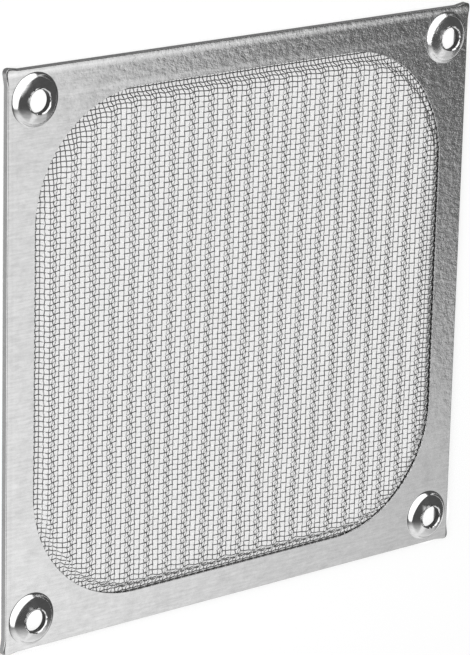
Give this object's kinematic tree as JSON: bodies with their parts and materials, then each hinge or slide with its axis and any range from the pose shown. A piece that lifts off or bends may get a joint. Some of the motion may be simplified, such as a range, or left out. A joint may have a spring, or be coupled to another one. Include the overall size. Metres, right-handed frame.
{
  "type": "fan dust filter",
  "caption": "Square fan dust filter: two thin aluminium sheets with a folded hem clamp a corrugated wire cloth and carry a raised screw boss at each corner.",
  "frame": {"origin": "centre of the square outline, on the back of the folded hem", "axes": "+Z points out of the front face, the side with the raised bosses; +X and +Y are parallel to the sides, and the cloth's flutes run along Y"},
  "size_m": [0.1182, 0.1182, 0.0036],
  "materials": {
    "front_sheet": "bright rolled sheet with fine grain",
    "rear_sheet": "bright rolled sheet with fine grain",
    "wire_cloth": "drawn wire, woven"
  },
  "bodies": {
    "root": {"front_frame": "front_sheet", "rear_frame": "rear_sheet", "filter_mesh": "wire_cloth"}
  },
  "joints": []
}
